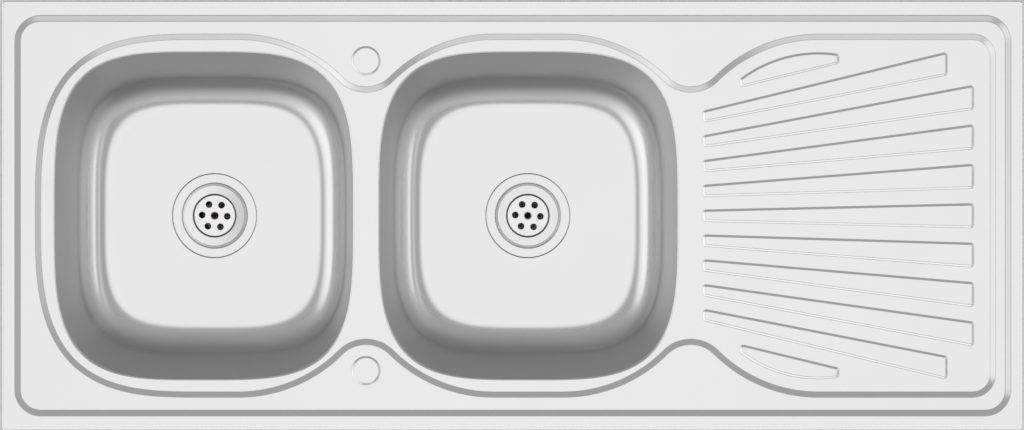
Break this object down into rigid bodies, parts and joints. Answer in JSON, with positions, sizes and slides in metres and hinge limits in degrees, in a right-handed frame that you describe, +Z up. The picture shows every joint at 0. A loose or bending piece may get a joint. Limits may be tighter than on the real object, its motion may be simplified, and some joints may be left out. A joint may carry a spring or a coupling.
{
  "type": "double bowl kitchen sink",
  "caption": "Inset stainless steel kitchen sink with two round-cornered bowls, a ribbed drainer, strainer wastes and rocking fixing clips under the rim.",
  "frame": {"origin": "centre of the sink's outline on the worktop's top face, which is the plane that the rim's foam strip rests on", "axes": "+X along the sink towards the drainer, +Y towards the back edge, +Z up"},
  "size_m": [1.2, 0.506, 0.2275],
  "materials": {
    "deck_steel": "pressed stainless sheet, fine satin",
    "bowl_steel": "deep-drawn stainless sheet, satin",
    "strainer_steel": "polished stainless",
    "clip_zinc_steel": "zinc plated",
    "screw_brass": "turned",
    "seal_rubber": "moulded",
    "rim_foam": "closed-cell foam",
    "bitumen_felt": "matt bitumen felt",
    "waste_plastic": "moulded, black"
  },
  "bodies": {
    "sink": {"deck_panel": "deck_steel", "rim_seal": "rim_foam", "left_bowl": "bowl_steel", "left_sound_pad": "bitumen_felt", "left_flange_seal": "seal_rubber", "left_strainer": "strainer_steel", "left_waste_screw": "screw_brass", "left_brass_insert": "screw_brass", "left_body_gasket": "seal_rubber", "left_waste_cross": "waste_plastic", "left_waste_body": "waste_plastic", "right_bowl": "bowl_steel", "right_sound_pad": "bitumen_felt", "right_flange_seal": "seal_rubber", "right_strainer": "strainer_steel", "right_waste_screw": "screw_brass", "right_brass_insert": "screw_brass", "right_body_gasket": "seal_rubber", "right_waste_cross": "waste_plastic", "right_waste_body": "waste_plastic", "clip_1_bracket": "clip_zinc_steel", "clip_1_pin": "clip_zinc_steel", "clip_2_bracket": "clip_zinc_steel", "clip_2_pin": "clip_zinc_steel", "clip_3_bracket": "clip_zinc_steel", "clip_3_pin": "clip_zinc_steel", "clip_4_bracket": "clip_zinc_steel", "clip_4_pin": "clip_zinc_steel", "clip_5_bracket": "clip_zinc_steel", "clip_5_pin": "clip_zinc_steel", "clip_6_bracket": "clip_zinc_steel", "clip_6_pin": "clip_zinc_steel", "clip_7_bracket": "clip_zinc_steel", "clip_7_pin": "clip_zinc_steel", "clip_8_bracket": "clip_zinc_steel", "clip_8_pin": "clip_zinc_steel"},
    "claw_1": {"clip_1_claw": "clip_zinc_steel"},
    "jack_1": {"clip_1_screw": "clip_zinc_steel"},
    "claw_2": {"clip_2_claw": "clip_zinc_steel"},
    "jack_2": {"clip_2_screw": "clip_zinc_steel"},
    "claw_3": {"clip_3_claw": "clip_zinc_steel"},
    "jack_3": {"clip_3_screw": "clip_zinc_steel"},
    "claw_4": {"clip_4_claw": "clip_zinc_steel"},
    "jack_4": {"clip_4_screw": "clip_zinc_steel"},
    "claw_5": {"clip_5_claw": "clip_zinc_steel"},
    "jack_5": {"clip_5_screw": "clip_zinc_steel"},
    "claw_6": {"clip_6_claw": "clip_zinc_steel"},
    "jack_6": {"clip_6_screw": "clip_zinc_steel"},
    "claw_7": {"clip_7_claw": "clip_zinc_steel"},
    "jack_7": {"clip_7_screw": "clip_zinc_steel"},
    "claw_8": {"clip_8_claw": "clip_zinc_steel"},
    "jack_8": {"clip_8_screw": "clip_zinc_steel"}
  },
  "joints": [
    {"name": "claw_1_swing", "type": "hinge", "parent": "sink", "child": "claw_1", "pos_m": [-0.38, -0.2247, -0.012], "axis": [-1, 0, 0], "range_deg": [0, 50]},
    {"name": "jack_1_travel", "type": "slide", "parent": "claw_1", "child": "jack_1", "axis": [0, -0.5736, 0.8192], "range_m": [0, 0.0106]},
    {"name": "claw_2_swing", "type": "hinge", "parent": "sink", "child": "claw_2", "pos_m": [0, -0.2247, -0.012], "axis": [-1, 0, 0], "range_deg": [0, 50]},
    {"name": "jack_2_travel", "type": "slide", "parent": "claw_2", "child": "jack_2", "axis": [0, -0.5736, 0.8192], "range_m": [0, 0.0106]},
    {"name": "claw_3_swing", "type": "hinge", "parent": "sink", "child": "claw_3", "pos_m": [0.38, -0.2247, -0.012], "axis": [-1, 0, 0], "range_deg": [0, 50]},
    {"name": "jack_3_travel", "type": "slide", "parent": "claw_3", "child": "jack_3", "axis": [0, -0.5736, 0.8192], "range_m": [0, 0.0106]},
    {"name": "claw_4_swing", "type": "hinge", "parent": "sink", "child": "claw_4", "pos_m": [0.5746, 0, -0.012], "axis": [0, -1, 0], "range_deg": [0, 50]},
    {"name": "jack_4_travel", "type": "slide", "parent": "claw_4", "child": "jack_4", "axis": [0.5736, 0, 0.8192], "range_m": [0, 0.0106]},
    {"name": "claw_5_swing", "type": "hinge", "parent": "sink", "child": "claw_5", "pos_m": [0.38, 0.2247, -0.012], "axis": [1, 0, 0], "range_deg": [0, 50]},
    {"name": "jack_5_travel", "type": "slide", "parent": "claw_5", "child": "jack_5", "axis": [0, 0.5736, 0.8192], "range_m": [0, 0.0106]},
    {"name": "claw_6_swing", "type": "hinge", "parent": "sink", "child": "claw_6", "pos_m": [0, 0.2247, -0.012], "axis": [1, 0, 0], "range_deg": [0, 50]},
    {"name": "jack_6_travel", "type": "slide", "parent": "claw_6", "child": "jack_6", "axis": [0, 0.5736, 0.8192], "range_m": [0, 0.0106]},
    {"name": "claw_7_swing", "type": "hinge", "parent": "sink", "child": "claw_7", "pos_m": [-0.38, 0.2247, -0.012], "axis": [1, 0, 0], "range_deg": [0, 50]},
    {"name": "jack_7_travel", "type": "slide", "parent": "claw_7", "child": "jack_7", "axis": [0, 0.5736, 0.8192], "range_m": [0, 0.0106]},
    {"name": "claw_8_swing", "type": "hinge", "parent": "sink", "child": "claw_8", "pos_m": [-0.5746, 0, -0.012], "axis": [0, 1, 0], "range_deg": [0, 50]},
    {"name": "jack_8_travel", "type": "slide", "parent": "claw_8", "child": "jack_8", "axis": [-0.5736, 0, 0.8192], "range_m": [0, 0.0106]}
  ],
  "couplings": [
    {"joint": "jack_1_travel", "follows": "claw_1_swing", "m_per_rad": 0.01206},
    {"joint": "jack_2_travel", "follows": "claw_2_swing", "m_per_rad": 0.01206},
    {"joint": "jack_3_travel", "follows": "claw_3_swing", "m_per_rad": 0.01206},
    {"joint": "jack_4_travel", "follows": "claw_4_swing", "m_per_rad": 0.01206},
    {"joint": "jack_5_travel", "follows": "claw_5_swing", "m_per_rad": 0.01206},
    {"joint": "jack_6_travel", "follows": "claw_6_swing", "m_per_rad": 0.01206},
    {"joint": "jack_7_travel", "follows": "claw_7_swing", "m_per_rad": 0.01206},
    {"joint": "jack_8_travel", "follows": "claw_8_swing", "m_per_rad": 0.01206}
  ]
}
